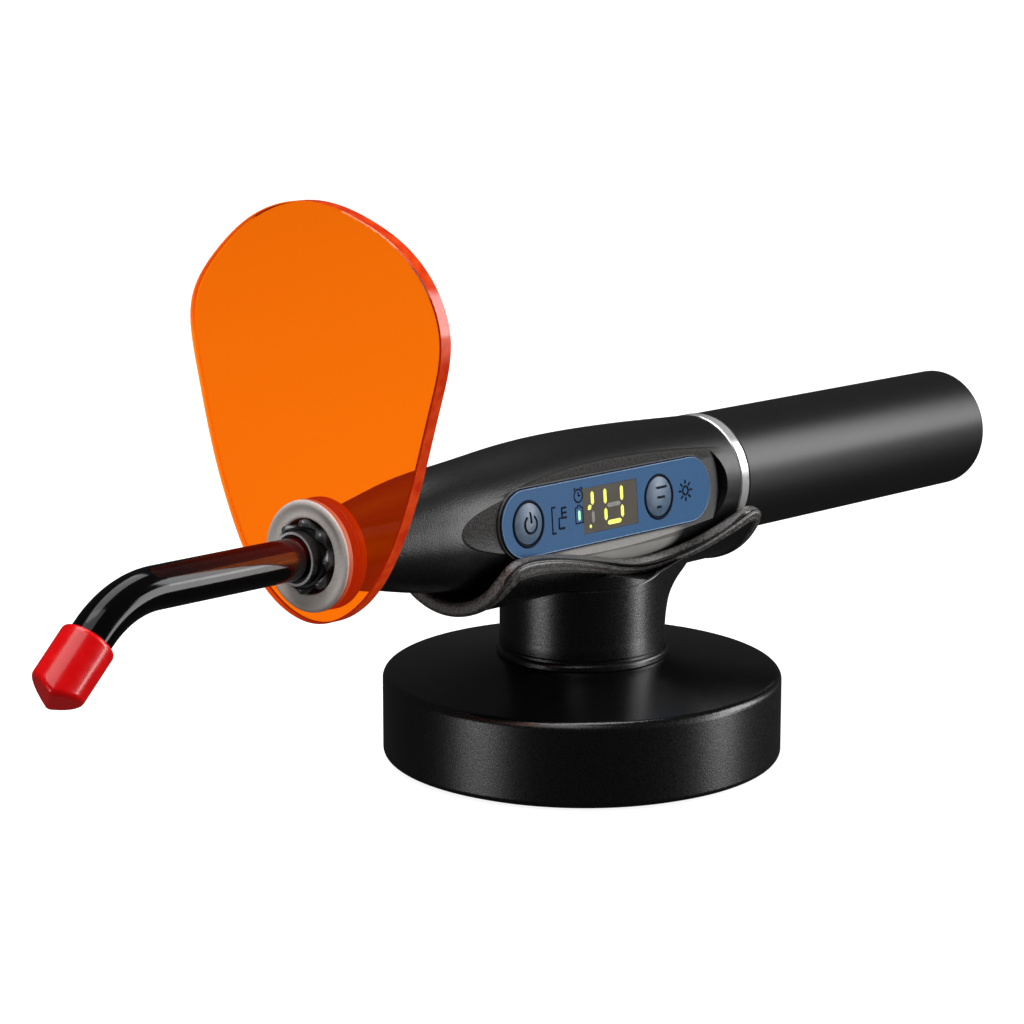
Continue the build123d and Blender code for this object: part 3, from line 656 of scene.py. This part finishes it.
def cradle_rim():
    """The rolled bead round the cradle's edge, broad at the front, with fine lines along it."""
    radius, half_thick, section = 15.85, 1.42, 72
    square, line_depth, above_edge, proud = 0.62, 0.16, 0.3, 0.05
    spots = rim_spots(radius, 40)
    total = len(spots)
    height = []
    for spot in spots:
        on_side = ramp(-spot.z, 14.0, 9.5)
        height.append(2.3 + 0.5 * on_side + 1.3 * on_side * ramp(-spot.x, 20.0, 33.0))
    blur = range(-8, 9)
    verts = []
    for i, spot in enumerate(spots):
        way = (spots[(i + 1) % total] - spots[i - 1]).normalized()
        outward = Vector((0, spot.y, spot.z)).normalized()
        edge = way.cross(outward).normalized()
        runs_along = abs(way.x) > 0.5
        points_away = edge.z if runs_along else edge.x * math.copysign(1, spot.x)
        if points_away < 0:
            edge = -edge
        tall = sum(height[(i + k) % total] for k in blur) / len(blur)
        for j in range(section):
            turn = math.tau * j / section
            c, n = math.cos(turn), math.sin(turn)
            across = half_thick * math.copysign(abs(c) ** square, c)
            up = tall / 2 * math.copysign(abs(n) ** square, n)
            if c > 0.3 and abs(n) < 0.72:
                across -= line_depth * max(0, math.cos(up / tall * math.tau * 3)) ** 6
            verts.append(spot + outward * (across + proud) + edge * (up - tall / 2 + above_edge))
    # Grain and painted highlight: the bead's light speckle is far paler than the stand's plastic,
    # giving its bright band
    paint = look("rim_grain_and_highlight", (0.03, 0.03, 0.03), 0.4, Specular_IOR_Level=1.0)
    grain(paint, 0.45, 0.10, (0.006, 0.006, 0.006), (0.18, 0.17, 0.162), 0.3, 0.5)
    return piece("cradle_rim_bead", verts, loop_faces(total, section), HAND, paint,
                 "stand")


cradle_rim()


# ---------------------------------------------------------------- collar, grommet and neck

def collar():
    """The nose collar: eight rounded grip lobes standing round the ferrule."""
    front = extent("nose_collet", AXIS)[0]
    core, lobe, bore, set_back, lobes, steps = 5.75, 1.15, 5.62, 1.5, 8, 320
    lip, nose_round, nose_steps = 0.12, 0.6, 6
    inside, lobe_end, neck, shoulder = front + 8.0, front + 3.6, front + 4.4, front + 8.7
    verts = []
    for i in range(steps):
        angle = math.tau * i / steps
        swell = (0.5 + 0.5 * math.cos(lobes * angle)) ** 0.9
        nose = front + set_back * (1 - swell)
        crest = core + lobe * swell
        ring = [(inside, bore), (nose + nose_round, bore), (nose + 0.1, bore + 0.04)]
        for k in range(nose_steps + 1):
            turn = math.pi / 2 * k / nose_steps
            ring.append((nose + nose_round * (1 - math.cos(turn)),
                         bore + lip + (crest - bore - lip) * math.sin(turn)))
        ring += [(lobe_end, crest), (neck, core), (shoulder, core), (shoulder, bore)]
        verts += [(x, r * math.cos(angle), r * math.sin(angle)) for x, r in ring]
    made = piece("nose_collar_lobes", verts, loop_faces(steps, len(ring)), HAND,
                 LOOKS["collet_dark"], "handpiece")
    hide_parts("nose_collet")


def grommet():
    """The silicone ring: a dished front flange with a rolled edge, a groove and a rear flange."""
    front, rear = extent("shield_grommet", AXIS)
    plate_front, plate_rear = extent("shield_plate", AXIS)
    radius, hole, bore, gap, corner = 10.35, 8.33, 6.97, 0.06, 0.55
    outline = [(front + 0.15, bore), (front + 0.45, bore + 1.4), (front, radius - 0.7),
               (front + 0.35, radius), (plate_front - gap, radius), (plate_front - gap, hole),
               (plate_rear + gap, hole), (plate_rear + gap, radius), (rear, radius), (rear, bore)]
    made = turned("shield_grommet_soft", rounded(outline, corner), LOOKS["grommet_grey"],
                  "grommet")
    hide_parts("shield_grommet")


# Rings that the neck's flare runs through: height, radius and distance towards the tail
FLARE_RINGS = [(23.1, 16.5, 0.0), (26.4, 16.5, 0.0), (29.7, 16.2, 0.9), (32.5, 14.8, 4.2),
               (34.7, 13.1, 9.2), (36.9, 11.7, 15.0), (39.0, 11.4, 17.5)]


def between(path, value):
    """The point of a path whose first coordinate rises, at the given first coordinate."""
    for start, end in zip(path, path[1:]):
        if value <= end[0]:
            return start.lerp(end, max((value - start[0]) / (end[0] - start[0]), 0))
    return path[-1]


def neck_tops(steps, column, below_rim, highest):
    """How high the neck's skin reaches in each direction: up to the bead on the cradle's rim."""
    _, last_radius, last_reach = FLARE_RINGS[-1]
    rim = smooth_path(RIM_LINE, 90)
    tops = []
    for i in range(steps):
        c = math.cos(math.tau * i / steps)
        x = max(column * c, last_reach + last_radius * c)
        on_rim = HAND @ (Vector((x, 0, between(rim, x).y)) * MM)
        tops.append(min(on_rim.z / MM - below_rim, highest))
    return tops


def neck_fairing():
    """A thin skin that carries the round column smoothly into its flare, up to the bead."""
    column, clear, thickness, steps, rows = 16.5, 0.06, 0.5, 180, 40
    cradle_wall = 16.4
    foot = FLARE_RINGS[0][0]
    path = smooth_path(FLARE_RINGS, 60)
    tops = neck_tops(steps, column, 2.2, 39.4)
    to_hand = HAND.inverted()
    outer = [(row / (rows - 1), clear) for row in range(rows)]
    inner = [(share, clear - thickness) for share, _ in reversed(outer)]
    verts = []
    for share, offset in outer + inner:
        for i in range(steps):
            turn = math.tau * i / steps
            height = foot + (tops[i] - foot) * share
            _, radius, reach = between(path, height)
            if reach * math.cos(turn) + radius <= column:
                radius, reach = column, 0
            size = radius + offset
            x = reach + size * math.cos(turn)
            spot = to_hand @ (Vector((x, size * math.sin(turn), height)) * MM) / MM
            # What would stand in the cradle's hollow is pressed into the cradle's wall
            if spot.z < 0 and math.hypot(spot.y, spot.z) < cradle_wall:
                spot.z = -math.sqrt(cradle_wall ** 2 - spot.y ** 2)
            verts.append(spot)
    return piece("neck_fairing", verts, loop_faces(2 * rows, steps), HAND,
                 LOOKS["stand_black"], "stand")


collar()
grommet()
neck_fairing()


# ---------------------------------------------------------------- stage, light and camera

def floor():
    """A plain pale floor, which neither lights the object nor shows in its gloss."""
    half_side = 6.0
    mesh = bpy.data.meshes.new("floor")
    sheet = bmesh.new()
    bmesh.ops.create_grid(sheet, x_segments=1, y_segments=1, size=half_side)
    sheet.to_mesh(mesh)
    sheet.free()
    made = bpy.data.objects.new("floor", mesh)
    bpy.context.scene.collection.objects.link(made)
    paint = look("floor_white", (0.6, 0.6, 0.6), 1.0, Specular_IOR_Level=0.0,
                 Emission_Color=(1, 1, 1, 1), Emission_Strength=0.92)
    place = wire(paint, "TexCoord").outputs["Object"]
    away = wire(paint, "VectorMath", {0: place}, operation="LENGTH").outputs["Value"]
    plug(paint, "Emission Strength", spread(paint, away, 0.9, 1.05, 0.3, 1.5))
    mesh.materials.append(paint)
    made.visible_glossy = False
    made.visible_diffuse = False
    made.visible_shadow = False


def softbox(name, azimuth, elevation, distance, width, height, power, aim=(0, 0, 0.03)):
    """An area light on a sphere round the object, with its sizes in metres.
    Azimuth 0 is +X, 90 is +Y, in degrees."""
    turn, rise = math.radians(azimuth), math.radians(elevation)
    way = Vector((math.cos(rise) * math.cos(turn), math.cos(rise) * math.sin(turn), math.sin(rise)))
    data = bpy.data.lights.new(name, "AREA")
    data.shape = "RECTANGLE"
    data.size = width
    data.size_y = height
    data.energy = power
    lamp = bpy.data.objects.new(name, data)
    lamp.location = Vector(aim) + way * distance
    lamp.rotation_euler = way.to_track_quat("Z", "Y").to_euler()
    bpy.context.scene.collection.objects.link(lamp)


def world():
    """A pale surround that lights the object only softly."""
    made = bpy.data.worlds.new("studio")
    bpy.context.scene.world = made
    made.use_nodes = True
    tree = made.node_tree
    sky = tree.nodes["Background"]
    sky.inputs["Color"].default_value = (1, 1, 1, 1)
    rays = tree.nodes.new("ShaderNodeLightPath")
    level = tree.nodes.new("ShaderNodeMapRange")
    tree.links.new(rays.outputs["Is Camera Ray"], level.inputs["Value"])
    level.inputs["To Min"].default_value = 0.03
    level.inputs["To Max"].default_value = 1.0
    tree.links.new(level.outputs["Result"], sky.inputs["Strength"])


def camera():
    """A view from the front left, a little above the panel."""
    turn, tilt = -49.2591, 12.8308
    data = bpy.data.cameras.new("camera")
    data.lens = 116.864
    data.sensor_width = 36.0
    made = bpy.data.objects.new("camera", data)
    made.location = (-0.49684, -0.40944, 0.19612)
    made.rotation_euler = Euler((math.radians(90 - tilt), 0, math.radians(turn)))
    bpy.context.scene.collection.objects.link(made)
    bpy.context.scene.camera = made


floor()
world()
softbox("right", -38, 22, 0.9, 0.46, 0.52, 4.6)
softbox("right_low", -57, 0, 0.9, 0.26, 0.50, 2.7)
softbox("left", 161, -12, 0.9, 0.34, 0.18, 0.8)
softbox("front", 190, 52, 0.9, 0.7, 0.6, 2.5)
softbox("top", 100, 78, 0.9, 0.9, 0.5, 5)
camera()
bpy.context.scene.view_settings.view_transform = "Standard"
